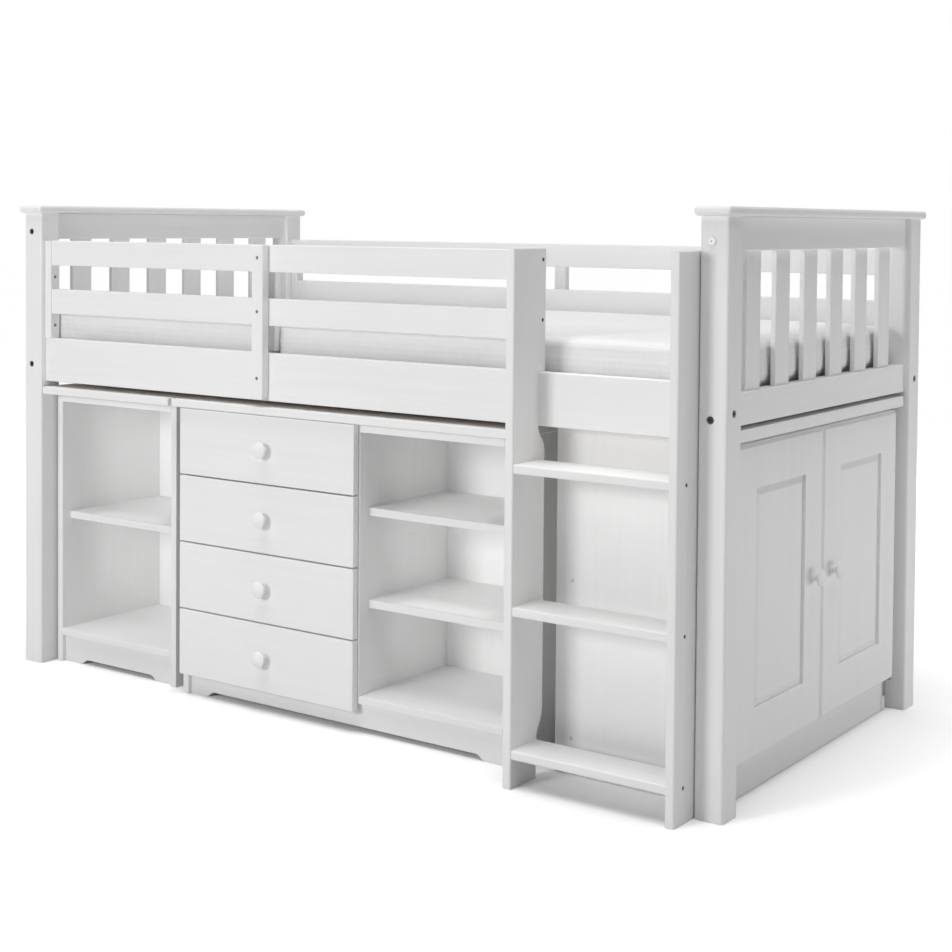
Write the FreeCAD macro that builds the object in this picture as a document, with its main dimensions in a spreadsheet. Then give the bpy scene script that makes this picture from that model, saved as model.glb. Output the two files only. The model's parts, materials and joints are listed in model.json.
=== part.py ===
import FreeCAD, Part
import os, re, math

# Mid sleeper (cabin) bed in painted timber: a raised bed frame between two
# slatted end panels, guard rails, an upright ladder, and three storage units
# under the bed: a narrow bookcase, a chest with drawers and open shelves, and
# a two-door cupboard whose doors face out of the foot end.
#
# Working axes: x along the bed from the head end, y from the front face of the
# posts to the back, z up from the floor, in millimetres.  mid_x and mid_y move
# everything so that the origin lies at the centre of the footprint.

doc = FreeCAD.newDocument("MidSleeperBed")
sheet = doc.addObject("Spreadsheet::Sheet", "Dims")
CELLS = [
    ("mid_x", 1002.5), ("mid_y", 468),
    # end panels
    ("length", 2010), ("width", 1000), ("head_in", 57), ("post", 62), ("post_top", 1161), ("post_round", 6),
    ("cap_thick", 18.5), ("cap_side", 9), ("cap_end", 12), ("cap_round", 7),
    ("rail_back", 12), ("rail_thick", 36), ("rail_tall", 67), ("rail_low", 754.5), ("low_tall", 63.5), ("edge_round", 2.5),
    ("slat_wide", 65), ("slat_thick", 12), ("slat_pitch", 136),
    # bed rails, base and mattress
    ("side_y", 17), ("board", 22), ("side_low", 729), ("side_top", 840),
    ("ledger", 18), ("bed_slat_wide", 70), ("bed_slat_thick", 18), ("bed_slat_first", 75), ("bed_slat_step", 137.5),
    ("mat_x", 58.5), ("mat_y", 46), ("mat_len", 1887.5), ("mat_wide", 900), ("mat_thick", 149.7), ("mat_round", 22),
    # guard rails
    ("guard_low", 903), ("guard_high", 1027), ("guard_tall", 63),
    ("batten_wide", 22), ("batten_y", 13), ("batten_deep", 30), ("batten_top", 1090),
    ("upright_x", 793), ("upright_wide", 34), ("upright_low", 733), ("joint_x", 810), ("splice", 18),
    # ladder
    ("lad_left", 1552), ("lad_right", 1926), ("stile_thick", 20.5), ("lad_front", -76), ("lad_rear", 40), ("lad_top", 1095),
    ("tread_front", -73), ("tread_rear", 19), ("tread_thick", 19), ("tread_a", 60.5), ("tread_b", 351.5), ("tread_c", 640.5), ("tread_round", 3.2),
    # storage units, shared sizes
    ("panel", 18), ("unit_high", 697), ("top_thick", 19), ("top_front", 2), ("back_thick", 5), ("panel_round", 1.5),
    # narrow bookcase
    ("bk_left", 66), ("bk_right", 497), ("bk_front", 48), ("bk_rear", 395), ("bk_floor", 68), ("bk_shelf", 369), ("bk_shelf_front", 75),
    ("bk_plinth", 60), ("bk_rail", 22),
    # chest with drawers and open shelves
    ("ch_left", 541), ("ch_div", 1073), ("ch_right", 1498), ("ch_front", 30), ("ch_rear", 365), ("ch_floor", 66),
    ("ch_shelf_a", 278), ("ch_shelf_b", 486), ("ch_shelf_front", 60), ("ch_plinth", 40), ("ch_rail", 21),
    # drawers
    ("dr_left", 545.5), ("dr_right", 1087), ("dr_face", 11.5), ("dr_low", 51), ("dr_tall", 158.5), ("dr_step", 161.7),
    ("dr_side", 15), ("dr_gap", 2), ("dr_box_up", 36), ("dr_box_tall", 102), ("dr_box_rear", 340), ("dr_bottom", 5),
    ("run_up", 79.5), ("run_tall", 17), ("run_reach", 8), ("run_front", 50), ("run_rear", 355), ("run_play", 0.6),
    # cupboard
    ("cb_back", 1579), ("cb_front", 1968.5), ("cb_low_y", 80), ("cb_high_y", 920), ("cb_high", 721), ("cb_top_thick", 24.5),
    ("cb_floor", 66), ("cb_shelf", 396), ("cb_plinth", 1966.5),
    ("door_in", 1971), ("door_thick", 18), ("door_out_y", 81.5), ("door_mid_y", 498.5), ("door_low", 78), ("door_high", 713),
    ("door_stile_out", 93.5), ("door_stile_in", 89.5), ("door_rail_low", 100), ("door_rail_high", 91), ("door_bevel", 7),
    ("panel_back", 1974), ("panel_field", 1987), ("panel_bevel", 17), ("panel_drop", 6), ("knob_high", 398),
    ("pivot_x", 1978), ("pivot_y", 86), ("pin_rad", 3), ("pin_play", 0.06),
    # knobs and fixings
    ("knob_rad", 19), ("knob_reach", 26), ("knob_x", 820),
    ("bolt_in", 26), ("bolt_high", 1113), ("bolt_low", 772), ("bolt_side_y", 29.5), ("bolt_side_z", 784), ("bore_rad", 8), ("bore_deep", 6),
]
for row, (alias, number) in enumerate(CELLS, start=1):
    sheet.set("A%d" % row, alias.replace("_", " "))
    sheet.set("B%d" % row, repr(number))
    sheet.setAlias("B%d" % row, alias)
doc.recompute()
D = {alias: float(sheet.get(alias)) for alias, _ in CELLS}
WORD = re.compile(r"\b(" + "|".join(sorted((a for a, _ in CELLS), key=len, reverse=True)) + r")\b")


def ex(text):
    return WORD.sub(r"Dims.\1", str(text))


nodes = {}          # label -> document object
expect = {}         # label -> number of separate solids
serial = [0]


def fresh(stem):
    serial[0] += 1
    return "%s_%03d" % (stem, serial[0])


def place(obj, x, y, z):
    obj.setExpression(".Placement.Base.x", ex("(%s) - mid_x" % x))
    obj.setExpression(".Placement.Base.y", ex("(%s) - mid_y" % y))
    obj.setExpression(".Placement.Base.z", ex(z))


def rounded(base, radius, axes):
    # Rounds the edges of a board that run along the given axes.
    base.recompute()
    keep = []
    for i, edge in enumerate(base.Shape.Edges, start=1):
        a, b = edge.Vertexes[0].Point, edge.Vertexes[-1].Point
        d = b - a
        for name, amount in (("x", abs(d.x)), ("y", abs(d.y)), ("z", abs(d.z))):
            if amount > 1e-6 and amount > 0.999 * d.Length and name in axes:
                keep.append((i, radius, radius))
    f = doc.addObject("Part::Fillet", fresh("Round"))
    f.Base = base
    f.Edges = keep
    return f


def board(x, y, z, radius=None, axes="x"):
    # A straight board between two values on each axis, given as sheet formulas.
    b = doc.addObject("Part::Box", fresh("Board"))
    for prop, (lo, hi) in (("Length", x), ("Width", y), ("Height", z)):
        b.setExpression(prop, ex("(%s) - (%s)" % (hi, lo)))
    place(b, x[0], y[0], z[0])
    if radius is None:
        return b
    return rounded(b, D[radius], axes)


def cut(base, tool):
    c = doc.addObject("Part::Cut", fresh("Cut"))
    c.Base, c.Tool = base, tool
    return c


def node(label, *objs):
    if len(objs) == 1:
        obj = objs[0]
    else:
        obj = doc.addObject("Part::Compound", fresh("Group"))
        obj.Links = list(objs)
    obj.Label = label
    nodes[label] = obj
    expect[label] = len(objs)
    return obj


def shape_object(shape, stem):
    obj = doc.addObject("Part::Feature", fresh(stem))
    obj.Shape = shape
    return obj


def at(x, y, z):
    return FreeCAD.Vector(x - D["mid_x"], y - D["mid_y"], z)


def body_sketch(stem, role):
    body = doc.addObject("PartDesign::Body", fresh(stem))
    sk = body.newObject("Sketcher::SketchObject", fresh("Sketch"))
    plane = [f for f in body.Origin.OriginFeatures if f.Role == role][0]
    sk.AttachmentSupport = [(plane, "")]
    sk.MapMode = "FlatFace"
    return body, sk


def outline(sk, pts):
    # A closed outline: (u, v) corners; a corner written (u, v, "arc", mu, mv)
    # is reached by an arc through (mu, mv).
    n = len(pts)
    for i in range(n):
        a, b = pts[i], pts[(i + 1) % n]
        p, q = FreeCAD.Vector(a[0], a[1], 0), FreeCAD.Vector(b[0], b[1], 0)
        if len(b) > 2:
            sk.addGeometry(Part.Arc(p, FreeCAD.Vector(b[3], b[4], 0), q), False)
        else:
            sk.addGeometry(Part.LineSegment(p, q), False)


def ogee(u0, v0, u1, v1, along_v):
    # Two equal tangent arcs from (u0, v0) to (u1, v1), leaving and arriving
    # along v when along_v is true and along u otherwise.
    mu, mv = (u0 + u1) / 2, (v0 + v1) / 2

    def half(p, q, start):
        # Middle point of the arc from p to q whose tangent at p (start) or q is the given axis.
        cu, cv = q[0] - p[0], q[1] - p[1]
        if not start:
            p, q, cu, cv = q, p, -cu, -cv
        if along_v:
            r = (cu * cu + cv * cv) / (2 * cu)
            c = (p[0] + r, p[1])
        else:
            r = (cu * cu + cv * cv) / (2 * cv)
            c = (p[0], p[1] + r)
        m = ((p[0] + q[0]) / 2 - c[0], (p[1] + q[1]) / 2 - c[1])
        k = abs(r) / math.hypot(*m)
        return c[0] + m[0] * k, c[1] + m[1] * k
    a = half((u0, v0), (mu, mv), True)
    b = half((mu, mv), (u1, v1), False)
    return [(mu, mv, "arc") + a, (u1, v1, "arc") + b]


# ---------------------------------------------------------------- end panels
# The two end panels are alike and not mirrored: in both, the rails sit nearer
# the post face that looks towards the head.
ENDS = {"head": "head_in - post", "foot": "length - post"}


def bolt_shape(p, d, length):
    # Bolt with a round hollow-hex head sunk in the post; p is on the post face, d points in.
    head = Part.makeCylinder(6.5, 4.5, p + d * 1.5, d)
    sock = Part.makeCylinder(2.6, 3.2, p + d * 1.4, d)
    shank = Part.makeCylinder(3.0, length, p + d * 5.9, d)
    return head.cut(sock).fuse(shank).removeSplitter()


def bolt_way(p, d, length):
    # Sunk bore for the head and the clear hole for the shank.
    return Part.makeCylinder(D["bore_rad"], D["bore_deep"] + 1, p - d * 1.0, d).fuse(
        Part.makeCylinder(3.0, length, p, d)).removeSplitter()


bolts, ways, nuts, seats = [], [], [], []
for end in ("head", "foot"):
    x0 = (D["head_in"] if end == "head" else D["length"]) - D["post"]
    for front in (True, False):
        y0, d = (0.0, FreeCAD.Vector(0, 1, 0)) if front else (D["width"], FreeCAD.Vector(0, -1, 0))
        for z in (D["bolt_high"], D["bolt_low"]):
            p = at(x0 + D["bolt_in"], y0, z)
            bolts.append(bolt_shape(p, d, 92))
            ways.append(bolt_way(p, d, 97.9))
            # cross-dowel nut in the end rail, on the bolt's line
            c = p + d * 84
            n = Part.makeCylinder(5, 16, c - FreeCAD.Vector(8, 0, 0), FreeCAD.Vector(1, 0, 0))
            seats.append(n)
            nuts.append(n.cut(Part.makeCylinder(3.0, 40, c - d * 20, d)))
        xf, dx = (x0, FreeCAD.Vector(1, 0, 0)) if end == "head" else (D["length"], FreeCAD.Vector(-1, 0, 0))
        yb = D["bolt_side_y"] if front else D["width"] - D["bolt_side_y"]
        p = at(xf, yb, D["bolt_side_z"])
        bolts.append(bolt_shape(p, dx, 92))
        ways.append(bolt_way(p, dx, 97.9))
        c = p + dx * 84
        n = Part.makeCylinder(5, 14, c - FreeCAD.Vector(0, 7, 0), FreeCAD.Vector(0, 1, 0))
        seats.append(n)
        nuts.append(n.cut(Part.makeCylinder(3.0, 40, c - dx * 20, dx)))
bolt_group = shape_object(Part.makeCompound(bolts), "Bolts")
way_group = shape_object(Part.makeCompound(ways), "BoltWays")
nut_group = shape_object(Part.makeCompound(nuts), "Nuts")
nut_space = shape_object(Part.makeCompound(seats), "NutSpaces")

# ---------------------------------------------------------------- wood screws
SCREWS = []


def screw(x, y, z, d, length):
    # Countersunk screw with a shallow drive recess; its head lies just below the face.
    p = at(x, y, z) + FreeCAD.Vector(*d) * 0.6
    d = FreeCAD.Vector(*d)
    s = Part.makeCone(4.2, 2.0, 3.0, p, d).fuse(Part.makeCylinder(2.0, length - 3.0, p + d * 3.0, d)).removeSplitter()
    SCREWS.append((s.cut(Part.makeCylinder(1.2, 1.2, p - d * 0.1, d)), p, d, length))


gx = D["upright_x"] + D["upright_wide"] / 2
for z in (1060, 936, 782):
    screw(gx, D["side_y"] - D["board"], z, (0, 1, 0), 38 if z < 800 else 56)
    screw(D["length"] / 2, D["width"] - D["side_y"] + D["board"], z, (0, -1, 0), 38)
for z in (997, 873):
    screw(D["head_in"] + D["batten_wide"], 28, z, (-1, 0, 0), 40)
    screw(D["head_in"] + D["batten_wide"], D["width"] - 28, z, (-1, 0, 0), 40)
    screw(D["length"] - D["post"] - D["batten_wide"], D["width"] - 28, z, (1, 0, 0), 40)
for a in ("tread_a", "tread_b", "tread_c"):
    z = D[a] + D["tread_thick"] / 2
    screw(D["lad_right"] + D["stile_thick"], -40, z, (-1, 0, 0), 45)
    screw(D["lad_left"], -40, z, (1, 0, 0), 45)
for z in (1070, 946):
    screw(D["lad_left"] + D["stile_thick"], 30, z, (-1, 0, 0), 48)
for z in (D["cb_shelf"] + 9, D["cb_floor"] + 9):
    screw(1619, D["cb_low_y"], z, (0, 1, 0), 40)
    screw(1619, D["cb_high_y"], z, (0, -1, 0), 40)
screw_group = shape_object(Part.makeCompound([s[0] for s in SCREWS]), "Screws")
screw_space = shape_object(Part.makeCompound([
    Part.makeCone(4.2, 2.0, 3.0, p, d).fuse(Part.makeCylinder(2.0, ln - 3.0, p + d * 3.0, d)).fuse(Part.makeCylinder(4.2, 1.6, p - d * 1.6, d)).removeSplitter()
    for _, p, d, ln in SCREWS]), "ScrewSpaces")

# ---------------------------------------------------------------- end panels, continued
for end, xs in ENDS.items():
    for side, ys in (("front", "0"), ("rear", "width - post")):
        b = board((xs, "%s + post" % xs), (ys, "%s + post" % ys), ("0", "post_top"), "post_round", "z")
        b = cut(b, way_group)
        node("%s_%s_post" % (end, side), cut(b, screw_space))
    body, sk = body_sketch("Cap", "XY_Plane")
    outline(sk, [(0, 0), (D["post"] + 2 * D["cap_side"], 0), (D["post"] + 2 * D["cap_side"], D["width"] + 2 * D["cap_end"]), (0, D["width"] + 2 * D["cap_end"])])
    pad = body.newObject("PartDesign::Pad", fresh("Pad"))
    pad.Profile = sk
    pad.setExpression("Length", ex("cap_thick"))
    doc.recompute()
    fil = body.newObject("PartDesign::Fillet", fresh("Fillet"))
    fil.Base = (pad, ["Edge%d" % (i + 1) for i in range(len(pad.Shape.Edges))])
    fil.setExpression("Radius", ex("cap_round"))
    body.Tip = fil
    place(body, "%s - cap_side" % xs, "-cap_end", "post_top")
    node("%s_cap" % end, body)
    rx = ("%s + rail_back" % xs, "%s + rail_back + rail_thick" % xs)
    ry = ("post", "width - post")
    rails = []
    for zs, tall in (("post_top - rail_tall", "rail_tall"), ("rail_low", "low_tall")):
        r = board(rx, ry, (zs, "%s + %s" % (zs, tall)), "edge_round", "y")
        rails.append(cut(cut(r, way_group), nut_space))
    node("%s_rails" % end, *rails)
    sl = []
    for i in range(6):
        c = "width/2 + (%g)*slat_pitch" % (i - 2.5)
        mid = "%s + rail_back + rail_thick/2" % xs
        sl.append(board(("%s - slat_thick/2" % mid, "%s + slat_thick/2" % mid),
                        ("%s - slat_wide/2" % c, "%s + slat_wide/2" % c),
                        ("rail_low + low_tall", "post_top - rail_tall"), "edge_round", "z"))
    node("%s_slats" % end, *sl)

# ---------------------------------------------------------------- side rails, base and mattress
run = ("head_in", "length - post")
front_band = ("side_y", "side_y + board")
rear_band = ("width - side_y - board", "width - side_y")
r = board(run, front_band, ("side_low", "side_top"), "edge_round", "x")
node("front_side_rail", cut(cut(cut(r, way_group), nut_space), screw_space))
r = board(run, rear_band, ("side_low", "side_top"), "edge_round", "x")
node("rear_side_rail", cut(cut(cut(r, way_group), nut_space), screw_space))
node("slat_ledgers",
     board(("head_in + 8", "length - post - 8"), ("side_y + board", "side_y + board + ledger"), ("side_low", "side_low + ledger"), "panel_round", "x"),
     board(("head_in + 8", "length - post - 8"), ("width - side_y - board - ledger", "width - side_y - board"), ("side_low", "side_low + ledger"), "panel_round", "x"))
node("bed_slats", *[board(("bed_slat_first + %d*bed_slat_step" % i, "bed_slat_first + %d*bed_slat_step + bed_slat_wide" % i),
                          ("side_y + board + 2", "width - side_y - board - 2"),
                          ("side_low + ledger", "side_low + ledger + bed_slat_thick"), "panel_round", "y") for i in range(14)])
b = board(("mat_x", "mat_x + mat_len"), ("mat_y", "mat_y + mat_wide"),
          ("side_low + ledger + bed_slat_thick", "side_low + ledger + bed_slat_thick + mat_thick"))
# it gives way round the inner batten of the front guard
give = board(("upright_x - 1", "upright_x + upright_wide + 1"), ("side_y + board - 1", "side_y + board + splice + 1"), ("side_top + 1", "batten_top"))
node("mattress", cut(rounded(b, D["mat_round"], "xyz"), give))

# ---------------------------------------------------------------- guard rails
gr, rr = [], []
for zs in ("guard_high", "guard_low"):
    zz = (zs, "%s + guard_tall" % zs)
    for xx in (("head_in + batten_wide", "joint_x"), ("joint_x", "lad_left")):
        gr.append(cut(board(xx, front_band, zz, "edge_round", "x"), screw_space))
    for xx in (("head_in + batten_wide", "length/2"), ("length/2", "length - post - batten_wide")):
        rr.append(cut(board(xx, rear_band, zz, "edge_round", "x"), screw_space))
node("front_guard_rails", *gr)
node("rear_guard_rails", *rr)
node("guard_end_battens", *[cut(board(xx, yy, ("side_top", "batten_top"), "edge_round", "z"), screw_space) for xx, yy in (
    (("head_in", "head_in + batten_wide"), ("batten_y", "batten_y + batten_deep")),
    (("head_in", "head_in + batten_wide"), ("width - batten_y - batten_deep", "width - batten_y")),
    (("length - post - batten_wide", "length - post"), ("width - batten_y - batten_deep", "width - batten_y")))])
ux = ("upright_x", "upright_x + upright_wide")
node("front_guard_upright", cut(board(ux, ("side_y - board", "side_y"), ("upright_low", "batten_top"), "edge_round", "xyz"), screw_space))
node("front_guard_inner_batten", cut(board(ux, ("side_y + board", "side_y + board + splice"), ("side_top + 2", "batten_top - 2"), "edge_round", "xyz"), screw_space))
node("rear_guard_upright", cut(board(("length/2 - upright_wide/2", "length/2 + upright_wide/2"), ("width - side_y", "width - side_y + board"),
                                     ("upright_low", "batten_top"), "edge_round", "xyz"), screw_space))

# ---------------------------------------------------------------- ladder
# Each stile is notched over the side rail; above and below the notch it reaches
# back to the guard rails' rear face, with an ogee under the notch and another
# just above the foot.
for label, xs in (("ladder_left_stile", "lad_left"), ("ladder_right_stile", "lad_right")):
    body, sk = body_sketch("Stile", "YZ_Plane")
    f, rear, top = D["lad_front"], D["lad_rear"], D["lad_top"]
    notch, low, high = D["side_y"], D["side_low"] - 1.0, D["side_top"] + 0.5
    pts = [(f, 0), (18, 0), (19, 80)] + ogee(19, 80, rear, 142, True) + [(rear, low - 48)] + ogee(rear, low - 48, notch, low, True) + [
        (notch, high), (rear, high), (rear, top), (f, top)]
    outline(sk, pts)
    pad = body.newObject("PartDesign::Pad", fresh("Pad"))
    pad.Profile = sk
    pad.setExpression("Length", ex("stile_thick"))
    doc.recompute()
    fil = body.newObject("PartDesign::Fillet", fresh("Fillet"))
    fil.Base = (pad, ["Edge%d" % (i + 1) for i, e in enumerate(pad.Shape.Edges)
                      if (abs(e.CenterOfMass.y - f) < 1e-3 and e.Length > 100) or (abs(e.CenterOfMass.z - top) < 1e-3 and e.Length > 100)])
    fil.Radius = 4
    body.Tip = fil
    place(body, xs, "0", "0")
    node(label, cut(body, screw_space))
tr = []
for zs in ("tread_a", "tread_b", "tread_c"):
    body, sk = body_sketch("Tread", "YZ_Plane")
    outline(sk, [(D["tread_front"], 0), (D["tread_rear"], 0), (D["tread_rear"], D["tread_thick"]), (D["tread_front"], D["tread_thick"])])
    pad = body.newObject("PartDesign::Pad", fresh("Pad"))
    pad.Profile = sk
    pad.setExpression("Length", ex("lad_right - lad_left - stile_thick"))
    doc.recompute()
    fil = body.newObject("PartDesign::Fillet", fresh("Fillet"))
    fil.Base = (pad, ["Edge%d" % (i + 1) for i, e in enumerate(pad.Shape.Edges) if abs(e.CenterOfMass.y - D["tread_front"]) < 1e-3 and e.Length > 100])
    fil.setExpression("Radius", ex("tread_round"))
    body.Tip = fil
    place(body, "lad_left + stile_thick", "0", zs)
    tr.append(cut(body, screw_space))
node("ladder_treads", *tr)

# ---------------------------------------------------------------- fixings
nodes["frame_bolts"] = bolt_group
nodes["barrel_nuts"] = nut_group
nodes["wood_screws"] = screw_group
bolt_group.Label, nut_group.Label, screw_group.Label = "frame_bolts", "barrel_nuts", "wood_screws"
expect["frame_bolts"], expect["barrel_nuts"], expect["wood_screws"] = len(bolts), len(nuts), len(SCREWS)
# Push-in cover over the upper bolt of the foot end's front post.
p = at(D["length"] - D["post"] + D["bolt_in"], 0, D["bolt_high"])
q = FreeCAD.Vector(0, -1, 0)
cap = Part.makeCylinder(8.7, 2.8, p, q)
cap = cap.makeFillet(1.6, [e for e in cap.Edges if abs(e.CenterOfMass.y - (p.y - 2.8)) < 1e-6 and e.Closed])
cap = cap.fuse(Part.makeCylinder(7.6, 1.2, p, q * -1.0)).removeSplitter()
cap = cap.cut(Part.makeCylinder(2.1, 2.3, p + q * 2.9, q * -1.0))
node("bolt_cover", shape_object(cap, "Cover"))


# ---------------------------------------------------------------- plinth with an arch between two feet
def plinth(x0, x1, rear, high, foot, rise_len, rise, thick="panel"):
    # Front plinth lying across x; the arch springs from each foot with an ogee.
    w = D_val(x1) - D_val(x0)
    body, sk = body_sketch("Plinth", "XZ_Plane")
    pts = [(0, 0), (foot, 0)] + ogee(foot, 0, foot + rise_len, rise, False)
    pts += [(w - foot - rise_len, rise)] + ogee(w - foot - rise_len, rise, w - foot, 0, False)
    pts += [(w, 0), (w, high), (0, high)]
    outline(sk, pts)
    pad = body.newObject("PartDesign::Pad", fresh("Pad"))
    pad.Profile = sk
    pad.setExpression("Length", ex(thick))
    body.Tip = pad
    place(body, x0, rear, "0")
    return body


def D_val(text):
    # Value of a sheet formula of the form "a", "a + b" or "a - b".
    total, sign = 0.0, 1.0
    for word in str(text).split():
        if word == "+":
            sign = 1.0
        elif word == "-":
            sign = -1.0
        else:
            total += sign * (D[word] if word in D else float(word))
    return total


# ---------------------------------------------------------------- narrow bookcase
bz = ("0", "unit_high")
inner = ("bk_left + panel", "bk_right - panel")
node("bookcase_sides",
     board(("bk_left", "bk_left + panel"), ("bk_front", "bk_rear"), bz, "panel_round", "z"),
     board(("bk_right - panel", "bk_right"), ("bk_front", "bk_rear"), bz, "panel_round", "z"))
node("bookcase_top", board(("head_in + 3", "bk_right + 17"), ("top_front", "bk_rear + 5"), ("unit_high", "unit_high + top_thick"), "edge_round", "xyz"))
node("bookcase_shelves",
     board(inner, ("bk_shelf_front", "bk_rear - back_thick"), ("bk_shelf", "bk_shelf + panel"), "panel_round", "x"),
     board(inner, ("bk_front", "bk_rear - back_thick"), ("bk_floor", "bk_floor + panel"), "panel_round", "x"))
bk_plinth = (plinth("bk_left + panel", "bk_right - panel", "bk_plinth + panel", D["bk_floor"], 57, 27, 12))

# ---------------------------------------------------------------- chest with drawers and open shelves
cy = ("ch_front", "ch_rear")
inside_rear = "ch_rear - back_thick"
node("chest_uprights",
     board(("ch_left", "ch_left + panel"), cy, bz, "panel_round", "z"),
     board(("ch_div", "ch_div + panel"), ("ch_front", inside_rear), ("ch_floor + panel", "unit_high"), "panel_round", "z"),
     board(("ch_right - panel", "ch_right"), cy, bz, "panel_round", "z"))
node("chest_top", board(("ch_left - 16", "ch_right + 16"), ("top_front", "ch_rear + 7"), ("unit_high", "unit_high + top_thick"), "edge_round", "xyz"))
open_bay = ("ch_div + panel", "ch_right - panel")
node("chest_shelves", *([board(open_bay, ("ch_shelf_front", inside_rear), (s, "%s + panel" % s), "panel_round", "x") for s in ("ch_shelf_a", "ch_shelf_b")] + [
    board(("ch_left + panel", "ch_right - panel"), ("ch_front", inside_rear), ("ch_floor", "ch_floor + panel"), "panel_round", "x")]))
node("unit_top_rails",
     board(inner, ("bk_front", "bk_front + panel"), ("unit_high - bk_rail", "unit_high"), "panel_round", "x"),
     board(("ch_left + panel", "ch_div"), ("ch_front", "ch_front + panel"), ("unit_high - ch_rail", "unit_high"), "panel_round", "x"),
     board(open_bay, ("ch_front", "ch_front + panel"), ("unit_high - ch_rail", "unit_high"), "panel_round", "x"))
node("unit_plinths", bk_plinth, plinth("ch_left + panel", "ch_right - panel", "ch_plinth + panel", D["ch_floor"], 50, 26, 12))
runners = []
for i in range(4):
    zs = "dr_low + %d*dr_step + run_up" % i
    for xx in (("ch_left + panel", "ch_left + panel + run_reach"), ("ch_div - run_reach", "ch_div")):
        runners.append(board(xx, ("run_front", "run_rear"), (zs, "%s + run_tall" % zs), "panel_round", "y"))
node("drawer_runners", *runners)
node("cabinet_backs",
     board(inner, ("bk_rear - back_thick", "bk_rear"), ("bk_floor", "unit_high")),
     board(("ch_left + panel", "ch_right - panel"), ("ch_rear - back_thick", "ch_rear"), ("ch_floor", "unit_high")),
     board(("cb_back", "cb_back + back_thick"), ("cb_low_y + panel", "cb_high_y - panel"), ("cb_floor", "cb_high")))


# ---------------------------------------------------------------- knobs
def knob(x, y, z, angle):
    # Turned knob: small foot ring, waist and mushroom head; angle turns its axis from -y.
    body, sk = body_sketch("Knob", "XY_Plane")
    R, reach = D["knob_rad"], D["knob_reach"]
    # the crown is part of a sphere centred on the axis; the screw hole is 14 deep
    edge, lip = R - 3.0, reach - 3.2
    ball = (edge * edge + 3.2 * 3.2) / (2 * 3.2)
    half = math.asin(edge / ball) / 2
    outline(sk, [(2.0, 0), (11.0, 0), (11.0, -2.0), (7.5, -6.5, "arc", 8.2, -3.7), (7.6, -10.5, "arc", 6.9, -8.6),
                 (R, -17.5, "arc", 12.2, -14.0), (edge, -lip, "arc", R - 0.3, -20.8),
                 (0, -reach, "arc", ball * math.sin(half), -reach + ball - ball * math.cos(half)), (0, -14.0), (2.0, -14.0)])
    rev = body.newObject("PartDesign::Revolution", fresh("Turned"))
    rev.Profile = sk
    rev.ReferenceAxis = (sk, ["V_Axis"])
    rev.Angle = 360.0
    body.Tip = rev
    body.Placement = FreeCAD.Placement(at(x, y, z), FreeCAD.Rotation(FreeCAD.Vector(0, 0, 1), angle))
    return body


def knob_screw(x, y, z, d, through):
    # Pan-head screw from inside, through the board and into the knob.
    p, d = at(x, y, z), FreeCAD.Vector(*d)
    return (Part.makeCylinder(4.0, 2.4, p - d * 2.4, d).fuse(Part.makeCylinder(2.0, through + 14, p, d)).removeSplitter(),
            Part.makeCylinder(2.0, through + 14, p, d))


# ---------------------------------------------------------------- drawers, counted from the top
for k in range(4):
    i = 3 - k
    zs = "dr_low + %d*dr_step" % i
    z0 = D["dr_low"] + i * D["dr_step"]
    mx = D["knob_x"]
    zc = z0 + D["dr_tall"] / 2
    scr, hole = knob_screw(mx, D["dr_face"] + 18.0, zc, (0, -1, 0), 18.0)
    hole_obj = shape_object(hole, "KnobHole")
    face = board(("dr_left", "dr_right"), ("dr_face", "dr_face + panel"), (zs, "%s + dr_tall" % zs), "edge_round", "xyz")
    node("drawer_%d_front" % (k + 1), cut(face, hole_obj))
    node("drawer_%d_knob" % (k + 1), knob(mx, D["dr_face"], zc, 0), shape_object(scr, "KnobScrew"))
    by, bzs = ("dr_face + panel", "dr_box_rear"), ("%s + dr_box_up" % zs, "%s + dr_box_up + dr_box_tall" % zs)
    left = ("ch_left + panel + dr_gap", "ch_left + panel + dr_gap + dr_side")
    right = ("ch_div - dr_gap - dr_side", "ch_div - dr_gap")
    gz = ("%s + run_up - run_play" % zs, "%s + run_up + run_tall + run_play" % zs)
    gy = ("run_front - 6", "dr_box_rear + 5")
    g1 = board(("ch_left + panel", "ch_left + panel + run_reach + run_play"), gy, gz)
    g2 = board(("ch_div - run_reach - run_play", "ch_div"), gy, gz)
    span = ("ch_left + panel + dr_gap + dr_side", "ch_div - dr_gap - dr_side")
    node("drawer_%d_box" % (k + 1),
         cut(board(left, by, bzs, "panel_round", "y"), g1), cut(board(right, by, bzs, "panel_round", "y"), g2),
         board(span, ("dr_box_rear - dr_side", "dr_box_rear"), bzs, "panel_round", "x"),
         board(span, ("dr_face + panel", "dr_box_rear - dr_side"), ("%s + dr_box_up + 6" % zs, "%s + dr_box_up + 6 + dr_bottom" % zs)))

# ---------------------------------------------------------------- cupboard
cbz = ("0", "cb_high")
cx = ("cb_back", "cb_front")
in_y = ("cb_low_y + panel", "cb_high_y - panel")
node("cupboard_sides",
     cut(board(cx, ("cb_low_y", "cb_low_y + panel"), cbz, "panel_round", "z"), screw_space),
     cut(board(cx, ("cb_high_y - panel", "cb_high_y"), cbz, "panel_round", "z"), screw_space))
node("cupboard_shelves",
     cut(board(("cb_back + back_thick", "cb_front - 22"), in_y, ("cb_shelf", "cb_shelf + panel"), "panel_round", "y"), screw_space),
     cut(board(("cb_back + back_thick", "cb_front"), in_y, ("cb_floor", "cb_floor + panel"), "panel_round", "y"), screw_space))
# The cupboard's plinth is a plain board across y; a strip closes the top of the doorway.
node("cupboard_front_frame",
     board(("cb_plinth - panel", "cb_plinth"), in_y, ("0", "cb_floor"), "panel_round", "y"),
     board(("cb_front - panel", "cb_front"), in_y, ("cb_high - 30", "cb_high"), "panel_round", "y"))

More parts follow.
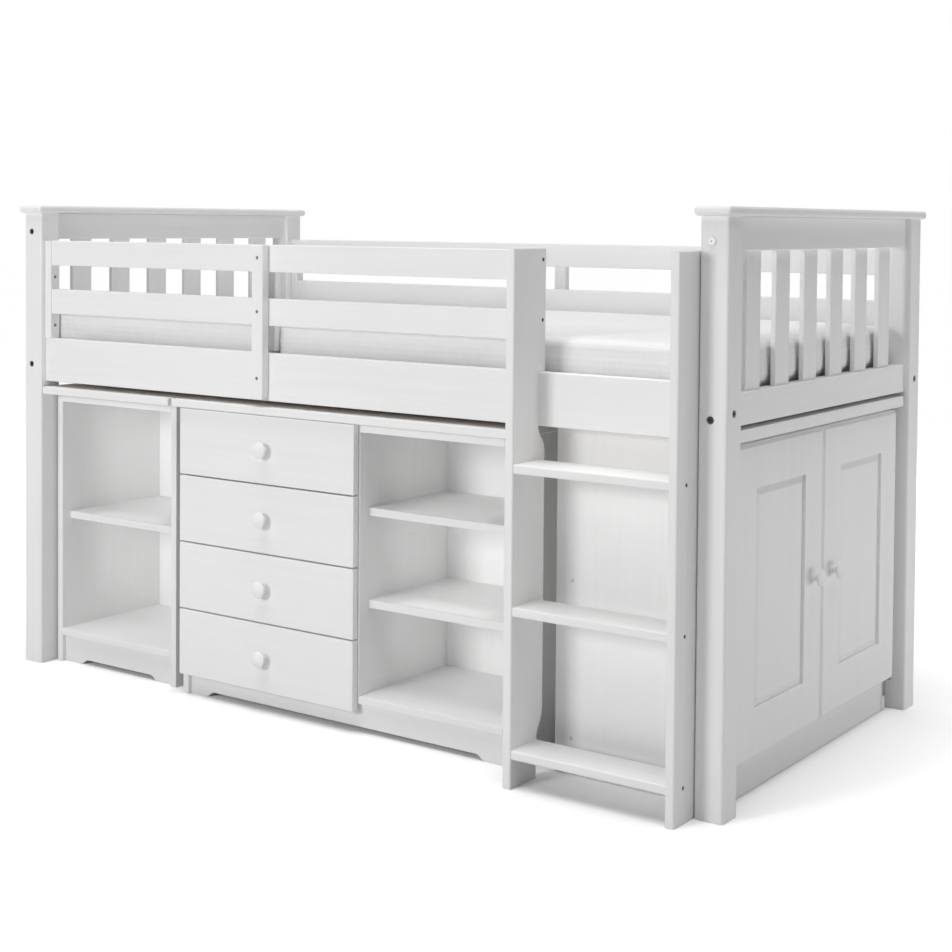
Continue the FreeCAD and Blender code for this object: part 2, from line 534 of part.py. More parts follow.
# Doors turn on pins near their outer edges: one pin stands in the cupboard top,
# one in an angle bracket under the door.
pins, holes, brackets = [], [], []
for sgn in (1, -1):
    yp = D["pivot_y"] if sgn > 0 else D["width"] - D["pivot_y"]
    for z0, z1 in ((D["door_high"] - 14, D["cb_high"] + 13), (D["door_low"] - 3.5, D["door_low"] + 14)):
        p = at(D["pivot_x"], yp, z0)
        pins.append(Part.makeCylinder(D["pin_rad"], z1 - z0, p))
    for z0, z1 in ((D["door_high"] - 15, D["door_high"] + 1), (D["door_low"] - 1, D["door_low"] + 15)):
        holes.append(Part.makeCylinder(D["pin_rad"] + D["pin_play"], z1 - z0, at(D["pivot_x"], yp, z0)))
    y0 = yp - 5 if sgn > 0 else yp - 9
    leg = Part.makeBox(1.6, 14, 40, at(D["cb_front"], y0, D["door_low"] - 43.5))
    foot = Part.makeBox(16.0, 14, 3.0, at(D["cb_front"], y0, D["door_low"] - 3.5))
    brackets.append(leg.fuse(foot).removeSplitter().cut(Part.makeCylinder(D["pin_rad"], 20, at(D["pivot_x"], yp, D["door_low"] - 10))))
pin_group = node("door_pivot_pins", shape_object(Part.makeCompound(pins), "Pins"))
expect["door_pivot_pins"] = len(pins)
node("door_pivot_brackets", shape_object(Part.makeCompound(brackets), "Brackets"))
expect["door_pivot_brackets"] = len(brackets)
hole_group = shape_object(Part.makeCompound(holes), "PivotHoles")
top = board(("cb_back - 10", "cb_front + 30.5"), ("post + 6", "width - post - 6"), ("cb_high", "cb_high + cb_top_thick"), "edge_round", "xyz")
node("cupboard_top", cut(top, pin_group))

dxs = ("door_in", "door_in + door_thick")
for label, lo, hi in (("front_door", "door_out_y", "door_mid_y"), ("rear_door", "width - door_mid_y", "width - door_out_y")):
    front = label == "front_door"
    dz = ("door_low", "door_high")
    so, si = ("door_stile_out", "door_stile_in") if front else ("door_stile_in", "door_stile_out")
    ry = ("%s + %s" % (lo, so), "%s - %s" % (hi, si))

    def bevelled(base, picks):
        # Bevel along the outer front edges of a door member; picks are (axis, value) of those edges.
        base.recompute()
        keep = []
        for n, e in enumerate(base.Shape.Edges, start=1):
            c = e.CenterOfMass
            c = {"x": c.x + D["mid_x"], "y": c.y + D["mid_y"], "z": c.z}
            if abs(c["x"] - D["door_in"] - D["door_thick"]) < 1e-6 and any(abs(c[a] - v) < 1e-6 for a, v in picks):
                keep.append((n, D["door_bevel"], D["door_bevel"]))
        b = doc.addObject("Part::Chamfer", fresh("Bevel"))
        b.Base = base
        b.Edges = keep
        return b
    y_lo = D["door_out_y"] if front else D["width"] - D["door_mid_y"]
    y_hi = D["door_mid_y"] if front else D["width"] - D["door_out_y"]
    ends = [("z", D["door_low"]), ("z", D["door_high"])]
    s1 = bevelled(board(dxs, (lo, "%s + %s" % (lo, so)), dz), [("y", y_lo)] + ends)
    s2 = bevelled(board(dxs, ("%s - %s" % (hi, si), hi), dz), [("y", y_hi)] + ends)
    r1 = bevelled(board(dxs, ry, ("door_low", "door_low + door_rail_low")), ends[:1])
    r2 = bevelled(board(dxs, ry, ("door_high - door_rail_high", "door_high")), ends[1:])
    yk = D["width"] / 2 + (-50 if front else 50)
    xk = D["door_in"] + D["door_thick"]
    scr, hole = knob_screw(D["door_in"], yk, D["knob_high"], (1, 0, 0), D["door_thick"])
    # the screw head is let into the back of the stile
    scr = Part.makeCylinder(4.0, 2.4, at(D["door_in"] + 0.4, yk, D["knob_high"]), FreeCAD.Vector(1, 0, 0)).fuse(hole).common(
        Part.makeBox(60, 20, 20, at(D["door_in"] + 0.4, yk - 10, D["knob_high"] - 10))).removeSplitter()
    hole = Part.makeCylinder(4.0, 2.8, at(D["door_in"], yk, D["knob_high"]), FreeCAD.Vector(1, 0, 0)).fuse(hole).removeSplitter()
    hole_obj = shape_object(hole, "KnobHole")
    inner_stile, outer_stile = (s2, s1) if front else (s1, s2)
    members = [cut(outer_stile, hole_group), cut(inner_stile, hole_obj), r1, r2]
    # fielded panel: flat raised field with a wide bevel down to the frame
    body, sk = body_sketch("Field", "YZ_Plane")
    w = D["door_mid_y"] - D["door_out_y"] - D["door_stile_out"] - D["door_stile_in"]
    h = D["door_high"] - D["door_low"] - D["door_rail_low"] - D["door_rail_high"]
    outline(sk, [(0, 0), (w, 0), (w, h), (0, h)])
    pad = body.newObject("PartDesign::Pad", fresh("Pad"))
    pad.Profile = sk
    pad.setExpression("Length", ex("panel_field - panel_back"))
    doc.recompute()
    xf = D["panel_field"] - D["panel_back"]
    face_name = [("Face%d" % (n + 1)) for n, fc in enumerate(pad.Shape.Faces) if abs(fc.CenterOfMass.x - xf) < 1e-6][0]
    ch = body.newObject("PartDesign::Chamfer", fresh("Bevel"))
    ch.Base = (pad, [face_name])
    ch.ChamferType = "Two distances"
    ch.setExpression("Size", ex("panel_drop"))
    ch.setExpression("Size2", ex("panel_bevel"))
    body.Tip = ch
    place(body, "panel_back", ry[0], "door_low + door_rail_low")
    node(label, *(members + [body]))
    node("%s_knob" % label, knob(xk, yk, D["knob_high"], 90), shape_object(scr, "KnobScrew"))

doc.recompute()

# ---------------------------------------------------------------- tests and files
bad = [o.Name for o in doc.Objects if "Invalid" in o.State or "Error" in o.State]
if bad:
    raise RuntimeError("failed objects: %s" % bad)
for label, obj in nodes.items():
    s = obj.Shape
    if s.isNull() or not s.isValid():
        raise RuntimeError("bad shape: %s" % label)
    if len(s.Solids) != expect[label]:
        raise RuntimeError("%s has %d solids, not %d" % (label, len(s.Solids), expect[label]))
os.makedirs("parts", exist_ok=True)
for label, obj in nodes.items():
    obj.Shape.exportStep("parts/%s.step" % label)
box = FreeCAD.BoundBox()
for obj in nodes.values():
    box.add(obj.Shape.BoundBox)
print("nodes", len(nodes), "box", [round(v, 2) for v in (box.XMin, box.XMax, box.YMin, box.YMax, box.ZMin, box.ZMax)])
for label in ("ladder_left_stile", "front_door", "unit_plinths", "drawer_1_knob", "front_door_knob"):
    s = nodes[label].Shape
    b = s.BoundBox
    print(label, round(s.Volume), [round(v, 1) for v in (b.XMin + D["mid_x"], b.XMax + D["mid_x"], b.YMin + D["mid_y"], b.YMax + D["mid_y"], b.ZMin, b.ZMax)])
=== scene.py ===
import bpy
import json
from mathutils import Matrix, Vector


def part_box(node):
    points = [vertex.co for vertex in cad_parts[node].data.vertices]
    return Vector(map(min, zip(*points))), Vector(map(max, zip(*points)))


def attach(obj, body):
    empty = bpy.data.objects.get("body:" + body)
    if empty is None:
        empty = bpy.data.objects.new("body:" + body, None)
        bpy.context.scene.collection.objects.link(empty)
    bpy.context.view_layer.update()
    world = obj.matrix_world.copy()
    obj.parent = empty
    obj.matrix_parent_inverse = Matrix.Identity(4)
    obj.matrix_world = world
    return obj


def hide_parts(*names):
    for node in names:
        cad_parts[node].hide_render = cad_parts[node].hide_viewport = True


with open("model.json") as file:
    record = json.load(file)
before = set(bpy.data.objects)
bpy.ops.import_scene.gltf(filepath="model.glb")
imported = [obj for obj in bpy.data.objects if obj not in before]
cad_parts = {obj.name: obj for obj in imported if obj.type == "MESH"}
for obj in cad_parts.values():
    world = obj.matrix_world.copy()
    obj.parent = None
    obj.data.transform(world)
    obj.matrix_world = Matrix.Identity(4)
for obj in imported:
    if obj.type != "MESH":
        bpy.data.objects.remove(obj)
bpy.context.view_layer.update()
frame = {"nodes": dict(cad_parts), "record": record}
import json
import math
import bpy
import bmesh
from mathutils import Matrix, Vector, noise

# Mid sleeper bed in white painted timber: looks, mattress, light and camera.

nodes = frame["nodes"]
ROOT = "bed_and_units"


# ------------------------------------------------------------------ material helpers
def start(name):
    m = bpy.data.materials.new(name)
    m.use_nodes = True
    nt = m.node_tree
    nt.nodes.clear()
    out = nt.nodes.new("ShaderNodeOutputMaterial")
    bsdf = nt.nodes.new("ShaderNodeBsdfPrincipled")
    nt.links.new(bsdf.outputs[0], out.inputs[0])
    return m, nt, bsdf


def coords(nt, scale=(1, 1, 1), rot=(0, 0, 0)):
    tc = nt.nodes.new("ShaderNodeTexCoord")
    mp = nt.nodes.new("ShaderNodeMapping")
    mp.inputs["Scale"].default_value = scale
    mp.inputs["Rotation"].default_value = rot
    nt.links.new(tc.outputs["Object"], mp.inputs["Vector"])
    return mp.outputs["Vector"]


def fac_noise(nt, vec, scale, detail=3.0, rough=0.55, distort=0.0):
    n = nt.nodes.new("ShaderNodeTexNoise")
    n.inputs["Scale"].default_value = scale
    n.inputs["Detail"].default_value = detail
    n.inputs["Roughness"].default_value = rough
    n.inputs["Distortion"].default_value = distort
    nt.links.new(vec, n.inputs["Vector"])
    return n.outputs["Fac"] if "Fac" in n.outputs else n.outputs[0]


def ramp(nt, fac, stops):
    r = nt.nodes.new("ShaderNodeValToRGB")
    e = r.color_ramp.elements
    while len(e) < len(stops):
        e.new(0.5)
    for i, (pos, col) in enumerate(stops):
        e[i].position = pos
        e[i].color = (col, col, col, 1) if not isinstance(col, tuple) else col + (1,)
    nt.links.new(fac, r.inputs[0])
    return r.outputs[0]


def math_node(nt, op, a, b):
    n = nt.nodes.new("ShaderNodeMath")
    n.operation = op
    for i, v in enumerate((a, b)):
        if isinstance(v, (int, float)):
            n.inputs[i].default_value = v
        else:
            nt.links.new(v, n.inputs[i])
    return n.outputs[0]


def bump(nt, height, strength, distance, normal=None):
    b = nt.nodes.new("ShaderNodeBump")
    b.inputs["Strength"].default_value = strength
    b.inputs["Distance"].default_value = distance
    nt.links.new(height, b.inputs["Height"])
    if normal is not None:
        nt.links.new(normal, b.inputs["Normal"])
    return b.outputs[0]


AXES = {"x": (1.3, 48.0, 48.0), "y": (48.0, 1.3, 48.0), "z": (48.0, 48.0, 1.3)}


def paint(axis):
    # Satin white paint on planed pine: the grain telegraphs faintly through the
    # film, with a fine roller stipple over it and slow drifts of tone.
    m, nt, b = start("white_paint_" + axis)
    grain = fac_noise(nt, coords(nt, AXES[axis]), 1.0, 5.0, 0.62, 0.35)
    streak = fac_noise(nt, coords(nt, tuple(6.5 * v if v > 2 else 3.0 for v in AXES[axis])), 1.0, 2.0, 0.5, 0.2)
    cloud = fac_noise(nt, coords(nt), 2.2, 2.0, 0.5)
    stipple = fac_noise(nt, coords(nt), 620.0, 2.0, 0.6)
    tone = math_node(nt, "ADD", math_node(nt, "MULTIPLY", grain, 0.45), math_node(nt, "MULTIPLY", cloud, 0.55))
    base = ramp(nt, tone, [(0.30, (0.872, 0.872, 0.868)), (0.50, (0.899, 0.899, 0.896)), (0.72, (0.914, 0.914, 0.912))])
    fine = ramp(nt, streak, [(0.32, 0.982), (0.58, 1.0)])
    mul = nt.nodes.new("ShaderNodeVectorMath")
    mul.operation = "MULTIPLY"
    nt.links.new(base, mul.inputs[0])
    nt.links.new(fine, mul.inputs[1])
    nt.links.new(mul.outputs[0], b.inputs["Base Color"])
    nt.links.new(ramp(nt, math_node(nt, "ADD", math_node(nt, "MULTIPLY", grain, 0.6), math_node(nt, "MULTIPLY", stipple, 0.4)),
                      [(0.30, 0.42), (0.70, 0.56)]), b.inputs["Roughness"])
    n1 = bump(nt, grain, 0.10, 0.0008)
    nt.links.new(bump(nt, stipple, 0.05, 0.0004, n1), b.inputs["Normal"])
    b.inputs["Specular IOR Level"].default_value = 0.30
    return m


def pine(axis):
    # Bare planed softwood: earlywood and latewood bands drawn out along the board, fine pores.
    m, nt, b = start("pine_" + axis)
    long = {"x": (0.9, 26.0, 26.0), "y": (26.0, 0.9, 26.0), "z": (26.0, 26.0, 0.9)}[axis]
    band = fac_noise(nt, coords(nt, long), 1.0, 4.0, 0.55, 1.1)
    pore = fac_noise(nt, coords(nt, tuple(4.5 * v for v in long)), 1.0, 3.0, 0.6)
    tone = math_node(nt, "ADD", math_node(nt, "MULTIPLY", band, 0.72), math_node(nt, "MULTIPLY", pore, 0.28))
    nt.links.new(ramp(nt, tone, [(0.30, (0.46, 0.285, 0.135)), (0.47, (0.64, 0.45, 0.255)), (0.62, (0.74, 0.56, 0.35)), (0.78, (0.78, 0.62, 0.42))]), b.inputs["Base Color"])
    nt.links.new(ramp(nt, tone, [(0.3, 0.50), (0.7, 0.66)]), b.inputs["Roughness"])
    nt.links.new(bump(nt, tone, 0.16, 0.0008), b.inputs["Normal"])
    return m


def steel(name, dark, light, rough):
    m, nt, b = start(name)
    scratch = fac_noise(nt, coords(nt, (900.0, 900.0, 260.0)), 1.0, 3.0, 0.6)
    nt.links.new(ramp(nt, scratch, [(0.30, dark), (0.72, light)]), b.inputs["Base Color"])
    nt.links.new(ramp(nt, scratch, [(0.30, rough - 0.08), (0.72, rough + 0.12)]), b.inputs["Roughness"])
    nt.links.new(bump(nt, scratch, 0.12, 0.0002), b.inputs["Normal"])
    b.inputs["Metallic"].default_value = 0.9
    return m


def plastic():
    m, nt, b = start("white_plastic")
    f = fac_noise(nt, coords(nt), 420.0, 2.0, 0.5)
    nt.links.new(ramp(nt, f, [(0.3, (0.83, 0.83, 0.825)), (0.7, (0.87, 0.87, 0.865))]), b.inputs["Base Color"])
    nt.links.new(ramp(nt, f, [(0.3, 0.24), (0.7, 0.34)]), b.inputs["Roughness"])
    nt.links.new(bump(nt, f, 0.04, 0.0002), b.inputs["Normal"])
    return m


def fabric():
    # White seersucker ticking: short raised ribs about 5 mm apart, broken every
    # centimetre or so, over a fine thread weave.
    m, nt, b = start("mattress_fabric")
    vec = coords(nt)
    waves = []
    for direction, pitch in (("X", 0.0054), ("Y", 0.0054), ("Z", 0.0125)):
        w = nt.nodes.new("ShaderNodeTexWave")
        w.wave_type = "BANDS"
        w.bands_direction = direction
        w.inputs["Scale"].default_value = 2 * math.pi / (20 * pitch)
        w.inputs["Distortion"].default_value = 1.1
        w.inputs["Detail"].default_value = 2.0
        w.inputs["Detail Scale"].default_value = 1.6
        nt.links.new(vec, w.inputs["Vector"])
        waves.append(w.outputs["Fac"] if "Fac" in w.outputs else w.outputs[1])
    weave = fac_noise(nt, coords(nt), 900.0, 2.0, 0.6)
    pucker = fac_noise(nt, coords(nt), 34.0, 3.0, 0.55)
    rib = math_node(nt, "ADD", math_node(nt, "MULTIPLY", waves[0], 0.42), math_node(nt, "MULTIPLY", waves[1], 0.34))
    rib = math_node(nt, "ADD", rib, math_node(nt, "MULTIPLY", waves[2], 0.24))
    h = math_node(nt, "ADD", math_node(nt, "MULTIPLY", rib, 0.7), math_node(nt, "MULTIPLY", pucker, 0.3))
    # Base colour follows the rib height: the troughs between the ribs are painted darker as painted shade, standing in
    # for the shade that falls in them, and the puckering adds random tone on top.
    nt.links.new(ramp(nt, h, [(0.18, (0.755, 0.755, 0.755)), (0.45, (0.825, 0.825, 0.823)), (0.75, (0.86, 0.86, 0.858))]), b.inputs["Base Color"])
    nt.links.new(ramp(nt, weave, [(0.3, 0.86), (0.7, 0.96)]), b.inputs["Roughness"])
    n1 = bump(nt, h, 0.42, 0.0022)
    nt.links.new(bump(nt, weave, 0.12, 0.0004, n1), b.inputs["Normal"])
    b.inputs["Sheen Weight"].default_value = 0.25
    b.inputs["Sheen Roughness"].default_value = 0.5
    b.inputs["Specular IOR Level"].default_value = 0.2
    return m


PAINT = {a: paint(a) for a in "xyz"}
PINE = {a: pine(a) for a in "xyz"}


def screw_steel():
    # Screw heads: dark on the ladder, brighter zinc on the guards, nearly painted
    # over on the cupboard sides.
    m, nt, b = start("screw_steel")
    grit = fac_noise(nt, coords(nt, (900.0, 900.0, 260.0)), 1.0, 3.0, 0.6)
    tc, sep = nt.nodes.new("ShaderNodeTexCoord"), nt.nodes.new("ShaderNodeSeparateXYZ")
    nt.links.new(tc.outputs["Object"], sep.inputs[0])
    x, y = sep.outputs[0], sep.outputs[1]
    at_head = math_node(nt, "LESS_THAN", x, 0.30)
    at_cupboard = math_node(nt, "MULTIPLY", math_node(nt, "LESS_THAN", math_node(nt, "ABSOLUTE", math_node(nt, "SUBTRACT", x, 0.6165), 0.0), 0.009),
                            math_node(nt, "GREATER_THAN", math_node(nt, "ABSOLUTE", y, 0.0), 0.30))
    col = ramp(nt, grit, [(0.30, (0.035, 0.033, 0.032)), (0.72, (0.11, 0.105, 0.10))])
    for mask, tone in ((at_head, (0.22, 0.28)), (at_cupboard, (0.66, 0.74))):
        other = ramp(nt, grit, [(0.30, tone[0]), (0.72, tone[1])])
        mix = nt.nodes.new("ShaderNodeMix")
        mix.data_type = "RGBA"
        nt.links.new(mask, mix.inputs["Factor"])
        nt.links.new(col, mix.inputs["A"] if mix.inputs["A"].type == "RGBA" else mix.inputs[6])
        nt.links.new(other, mix.inputs["B"] if mix.inputs["B"].type == "RGBA" else mix.inputs[7])
        col = mix.outputs[2]
    nt.links.new(col, b.inputs["Base Color"])
    nt.links.new(ramp(nt, grit, [(0.30, 0.40), (0.72, 0.55)]), b.inputs["Roughness"])
    b.inputs["Metallic"].default_value = 0.15
    return m


SCREW_STEEL = screw_steel()
BOLT_STEEL = steel("bolt_steel", (0.060, 0.058, 0.057), (0.13, 0.127, 0.125), 0.5)
DARK_STEEL = steel("dark_steel", (0.028, 0.026, 0.025), (0.10, 0.096, 0.092), 0.42)
PIVOT_STEEL = steel("pivot_steel", (0.34, 0.34, 0.34), (0.52, 0.52, 0.52), 0.34)
PLASTIC = plastic()
FABRIC = fabric()

ALONG_X = ("side_rail", "guard_rails", "treads", "bookcase_top", "chest_top", "bookcase_shelves", "chest_shelves", "unit_", "drawer_1_", "drawer_2_", "drawer_3_", "drawer_4_", "slat_ledgers")
ALONG_Y = ("head_rails", "foot_rails", "head_cap", "foot_cap", "cupboard_top", "cupboard_shelves", "cupboard_front_frame", "bed_slats", "drawer_runners")
SLOT = {s["node"]: s["material_slot"] for s in frame["record"]["subparts"]}
for name, obj in nodes.items():
    axis = "x" if any(k in name for k in ALONG_X) else "y" if any(k in name for k in ALONG_Y) else "z"
    if name == "drawer_runners":
        axis = "y"
    mat = {"white_paint": PAINT[axis], "pine": PINE[axis], "dark_steel": DARK_STEEL, "pivot_steel": PIVOT_STEEL,
           "white_plastic": PLASTIC, "mattress_fabric": FABRIC}[SLOT[name]]
    mat = {"frame_bolts": BOLT_STEEL, "wood_screws": SCREW_STEEL}.get(name, mat)
    obj.data.materials.clear()
    obj.data.materials.append(mat)


# ------------------------------------------------------------------ mattress
def smooth(t):
    t = max(0.0, min(1.0, t))
    return t * t * (3 - 2 * t)


def soft_mattress():
    lo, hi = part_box("mattress")
    lo, hi = Vector(lo), Vector(hi)
    # A slightly smaller block with round edges, on an even grid, then blown up a
    # little by cloth pressure and held to a few millimetres of swell.
    inset = Vector((0.002, 0.003, 0.006))
    rail_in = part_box("foot_rails")[0][0]
    (slat_in, sy0, rail_top), (_, sy1, _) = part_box("foot_slats")
    bat_lo, bat_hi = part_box("front_guard_inner_batten")
    wide = 0.065 / 0.136
    a, b = lo + Vector((inset.x, inset.y, 0.0)), hi - inset
    bm = bmesh.new()
    bmesh.ops.create_cube(bm, size=1.0)
    size, mid = b - a, (a + b) / 2
    for v in bm.verts:
        v.co = Vector((v.co.x * size.x, v.co.y * size.y, v.co.z * size.z)) + mid
    vert_edges = [e for e in bm.edges if abs(e.verts[0].co.z - e.verts[1].co.z) > 0.01]
    bmesh.ops.bevel(bm, geom=vert_edges, offset=0.009, segments=3, profile=0.5, affect="EDGES")
    top = [e for e in bm.edges if e.verts[0].co.z > b.z - 1e-4 and e.verts[1].co.z > b.z - 1e-4 and len(e.link_faces) == 2 and
           any(abs(f.normal.z) < 0.5 for f in e.link_faces)]
    bmesh.ops.bevel(bm, geom=top, offset=0.017, segments=4, profile=0.5, affect="EDGES")
    low = [e for e in bm.edges if e.verts[0].co.z < a.z + 1e-4 and e.verts[1].co.z < a.z + 1e-4 and len(e.link_faces) == 2 and
           any(abs(f.normal.z) < 0.5 for f in e.link_faces)]
    bmesh.ops.bevel(bm, geom=low, offset=0.016, segments=4, profile=0.5, affect="EDGES")
    me = bpy.data.meshes.new("soft_mattress")
    bm.to_mesh(me)
    bm.free()
    ob = bpy.data.objects.new("soft_mattress", me)
    bpy.context.scene.collection.objects.link(ob)
    rm = ob.modifiers.new("Even", "REMESH")
    rm.mode = "VOXEL"
    rm.voxel_size = 0.012
    dg = bpy.context.evaluated_depsgraph_get()
    even = bpy.data.meshes.new_from_object(ob.evaluated_get(dg))
    ob.modifiers.clear()
    ob.data = even
    start_co = [v.co.copy() for v in even.vertices]
    start_no = [v.normal.copy() for v in even.vertices]
    end_co = None
    cl = ob.modifiers.new("Cloth", "CLOTH")
    cs = cl.settings
    cs.use_pressure = True
    cs.uniform_pressure_force = 4.0
    cs.effector_weights.gravity = 0.0
    cs.tension_stiffness = 12.0
    cs.bending_stiffness = 0.6
    cs.quality = 4
    cl.point_cache.frame_start = 1
    cl.point_cache.frame_end = 20
    for f in range(1, 13):
        bpy.context.scene.frame_set(f)
    dg = bpy.context.evaluated_depsgraph_get()
    ev = ob.evaluated_get(dg)
    tmp = ev.to_mesh()
    end_co = [v.co.copy() for v in tmp.vertices]
    ev.to_mesh_clear()
    ob.modifiers.clear()
    bpy.context.scene.frame_set(1)
    for i, v in enumerate(even.vertices):
        p, n = start_co[i], start_no[i]
        d = (end_co[i] - p) if end_co else n * 0.004
        if d.length > 0.0048:
            d = d * (0.0048 / d.length)
        # slow undulation of the filling, none on the underside
        up = max(0.0, min(1.0, (p.z - a.z) / 0.05))
        wave = noise.noise(Vector((p.x * 3.1, p.y * 8.0, p.z * 5.0)))
        q = p + d + n * (0.0016 * wave * up)
        # two sewn seams run round the sides, under the top panel and above the base
        for zs in (b.z - 0.026, a.z + 0.022):
            t = (p.z - zs) / 0.006
            if abs(n.z) < 0.75:
                q = q - n * (0.0020 * math.exp(-t * t))
        q.x = max(lo.x + 0.0006, min(hi.x - 0.0006, q.x))
        q.y = max(lo.y + 0.0006, min(hi.y - 0.0006, q.y))
        q.z = max(lo.z + 0.0003, min(hi.z - 0.0004, q.z))
        # the foot end lies against the rail and, above it, leans on the slats and swells between them
        near = smooth((p.x - (b.x - 0.055)) / 0.05)
        if near > 0.0:
            t = (p.y - sy0) / 0.136
            gap = (t - math.floor(t) - wide) / (1.0 - wide)
            swell = 0.0070 * math.sin(math.pi * gap) ** 0.6 if 0.0 < gap < 1.0 else 0.0
            rise = smooth((p.z - rail_top - 0.001) / 0.014)
            side = smooth((p.y - (sy0 - 0.060)) / 0.03) * smooth((sy1 + 0.060 - p.y) / 0.03)
            low_x = rail_in - 0.0008 - hi.x
            q.x += near * side * (low_x + (slat_in - 0.0006 + swell - hi.x - low_x) * rise)
        # the head end is square against the posts
        if p.x < a.x + 0.014:
            q.x = lo.x - 0.0008
        if p.x < a.x + 0.050 and p.y < a.y + 0.014:
            q.y = lo.y + 0.0008
        v.co = q
    even.update()
    # it gives way closely round the inner batten of the front guard
    bm = bmesh.new()
    bm.from_mesh(even)

    def by_batten(v, room):
        return bat_lo[0] - room < v.co.x < bat_hi[0] + room and v.co.z > bat_lo[2] - room and v.co.y < bat_hi[1] + room
    edges = [e for e in bm.edges if by_batten(e.verts[0], 0.026) and by_batten(e.verts[1], 0.026)]
    bmesh.ops.subdivide_edges(bm, edges=edges, cuts=4, use_grid_fill=True)
    for v in bm.verts:
        if by_batten(v, 0.0008) and v.co.y < bat_hi[1] + 0.0012:
            v.co.y = bat_hi[1] + 0.0012
    bm.to_mesh(even)
    bm.free()
    even.update()
    for poly in even.polygons:
        poly.use_smooth = True
    sub = ob.modifiers.new("Smooth", "SUBSURF")
    sub.levels = 1
    sub.render_levels = 1
    ob.data.materials.clear()
    ob.data.materials.append(FABRIC)
    return ob


mat_ob = soft_mattress()
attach(mat_ob, ROOT)
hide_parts("mattress")

# ------------------------------------------------------------------ floor, light, camera
# Pale paper floor: the camera sees it nearly burnt out, as in a product studio,
# while it throws back less light than that onto the bed.
fm, fnt, fb = start("floor_white")
fcol = ramp(fnt, fac_noise(fnt, coords(fnt), 0.7, 2.0, 0.5), [(0.3, (0.895, 0.895, 0.895)), (0.7, (0.91, 0.91, 0.91))])
f_gain = fnt.nodes.new("ShaderNodeVectorMath")
f_gain.operation = "MULTIPLY"
fnt.links.new(fcol, f_gain.inputs[0])
f_gain.inputs[1].default_value = (1.26, 1.26, 1.26)
fnt.nodes.remove(fb)
fb = fnt.nodes.new("ShaderNodeBsdfDiffuse")
fnt.links.new(f_gain.outputs[0], fb.inputs["Color"])
f_dim = fnt.nodes.new("ShaderNodeBsdfDiffuse")
f_dim.inputs["Color"].default_value = (0.60, 0.60, 0.60, 1)
f_path, f_mix = fnt.nodes.new("ShaderNodeLightPath"), fnt.nodes.new("ShaderNodeMixShader")
f_out = [n for n in fnt.nodes if n.type == "OUTPUT_MATERIAL"][0]
fnt.links.new(f_path.outputs["Is Camera Ray"], f_mix.inputs[0])
fnt.links.new(f_dim.outputs[0], f_mix.inputs[1])
fnt.links.new(fb.outputs[0], f_mix.inputs[2])
fnt.links.new(f_mix.outputs[0], f_out.inputs[0])
bm = bmesh.new()
bmesh.ops.create_grid(bm, x_segments=8, y_segments=8, size=30.0)
fme = bpy.data.meshes.new("floor")
bm.to_mesh(fme)
bm.free()
floor = bpy.data.objects.new("floor", fme)
floor.location.z = -0.0005
bpy.context.scene.collection.objects.link(floor)
fme.materials.append(fm)

# White backdrop for the camera; the light itself comes from soft lamps: one
# overhead, a softbox in front of the bed, a low one past the foot end and weak
# fills from the right, above and behind.
world = bpy.data.worlds.new("studio")
bpy.context.scene.world = world
world.use_nodes = True
wnt = world.node_tree
wnt.nodes.clear()
w_out = wnt.nodes.new("ShaderNodeOutputWorld")
w_mix = wnt.nodes.new("ShaderNodeMixShader")
w_path = wnt.nodes.new("ShaderNodeLightPath")
w_low, w_seen = wnt.nodes.new("ShaderNodeBackground"), wnt.nodes.new("ShaderNodeBackground")
w_low.inputs["Color"].default_value = (1, 1, 1, 1)
w_low.inputs["Strength"].default_value = 0.118
w_seen.inputs["Color"].default_value = (1, 1, 1, 1)
w_seen.inputs["Strength"].default_value = 1.0
wnt.links.new(w_path.outputs["Is Camera Ray"], w_mix.inputs[0])
wnt.links.new(w_low.outputs[0], w_mix.inputs[1])
wnt.links.new(w_seen.outputs[0], w_mix.inputs[2])
wnt.links.new(w_mix.outputs[0], w_out.inputs[0])


def sun(name, direction, strength, angle):
    lamp = bpy.data.lights.new(name, "SUN")
    lamp.energy = strength
    lamp.angle = math.radians(angle)
    ob = bpy.data.objects.new(name, lamp)
    bpy.context.scene.collection.objects.link(ob)
    ob.rotation_mode = "QUATERNION"
    ob.rotation_quaternion = Vector(direction).to_track_quat("-Z", "Y")


def softbox(name, place, target, width, height, watts, spread=180):
    lamp = bpy.data.lights.new(name, "AREA")
    lamp.shape = "RECTANGLE"
    lamp.size, lamp.size_y = width, height
    lamp.energy = watts
    lamp.spread = math.radians(spread)
    ob = bpy.data.objects.new(name, lamp)
    bpy.context.scene.collection.objects.link(ob)
    ob.location = place
    ob.rotation_mode = "QUATERNION"
    ob.rotation_quaternion = (Vector(target) - Vector(place)).to_track_quat("-Z", "Y")
    ob.visible_camera = False


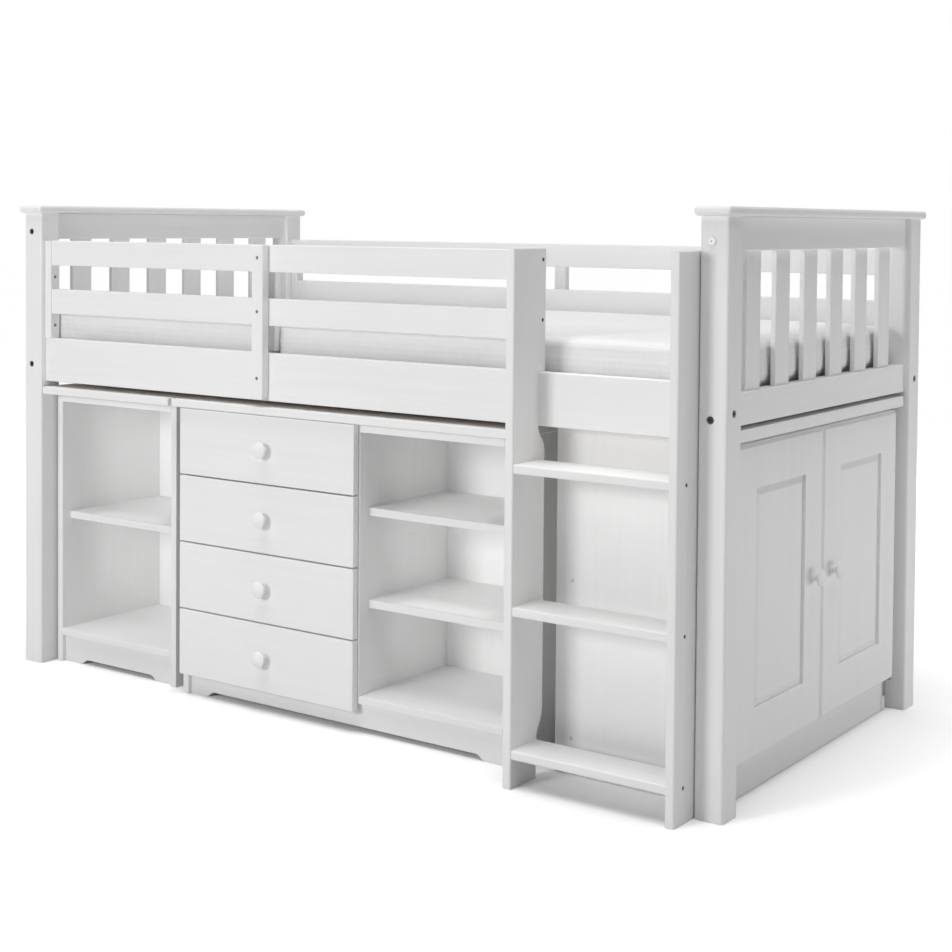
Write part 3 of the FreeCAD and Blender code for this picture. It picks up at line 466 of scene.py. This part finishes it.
sun("overhead", (0.01, 0.09, -1.0), 2.34, 52)
sun("right", (-1.0, 0.1, -0.25), 0.18, 60)
softbox("rear", (-0.6, 4.6, 1.30), (0.0, 0.5, 0.60), 1.2, 1.2, 14.0)
softbox("key", (-0.60, -4.20, 1.50), (-0.1, -0.45, 0.60), 0.95, 0.95, 59.5)
softbox("side", (2.6, 1.1, 0.22), (1.0, 0.0, 0.22), 1.6, 0.4, 8.0)
softbox("top", (0.60, 0.0, 1.95), (-1.0, 0.0, 0.95), 0.8, 0.8, 3.0)
# Weak panels at the mouths of the open bays, facing in, stand for the light
# that goes back and forth between their white walls.
for name, (x0, x1), y0, (z0, z1), glow in (
        ("bookcase_bay", (-0.9185, -0.5235), -0.385, (0.105, 0.68), 0.45),
        ("chest_bay", (0.0885, 0.4775), -0.398, (0.105, 0.67), 0.46)):
    place = Vector(((x0 + x1) / 2, y0, (z0 + z1) / 2))
    softbox(name, place, place + Vector((0, 1, 0)), 0.6 * (x1 - x0), 0.88 * (z1 - z0), glow * math.pi * (x1 - x0) * (z1 - z0), 130)
softbox("ladder_bay", (0.7475, -0.408, 0.40), (0.7475, 1.0, 0.40), 0.33, 0.62, 0.07 * math.pi * 0.33 * 0.62)

# Camera at the photograph's place: focal length 1666 px on a 952 px frame.
F, CX, CY, YAW, PITCH, ROLL = 1666.04, 482.64, 274.10, math.radians(35.181), math.radians(1.754), math.radians(0.459)
fw = Vector((-math.sin(YAW) * math.cos(PITCH), math.cos(YAW) * math.cos(PITCH), -math.sin(PITCH)))
rt = Vector((math.cos(YAW), math.sin(YAW), 0.0))
up = rt.cross(fw)
r2 = rt * math.cos(ROLL) + up * math.sin(ROLL)
u2 = up * math.cos(ROLL) - rt * math.sin(ROLL)
cam = bpy.data.cameras.new("camera")
cam.sensor_fit = "HORIZONTAL"
cam.sensor_width = 36.0
cam.lens = F / 952.0 * 36.0
cam.shift_x = (476.0 - CX) / 952.0
cam.shift_y = (CY - 476.0) / 952.0
cam.clip_start, cam.clip_end = 0.05, 200.0
cam_ob = bpy.data.objects.new("camera", cam)
bpy.context.scene.collection.objects.link(cam_ob)
cam_ob.matrix_world = Matrix((
    (r2.x, u2.x, -fw.x, 2.43718), (r2.y, u2.y, -fw.y, -3.30272), (r2.z, u2.z, -fw.z, 1.14386), (0, 0, 0, 1)))
bpy.context.scene.camera = cam_ob
bpy.context.scene.view_settings.view_transform = "Standard"
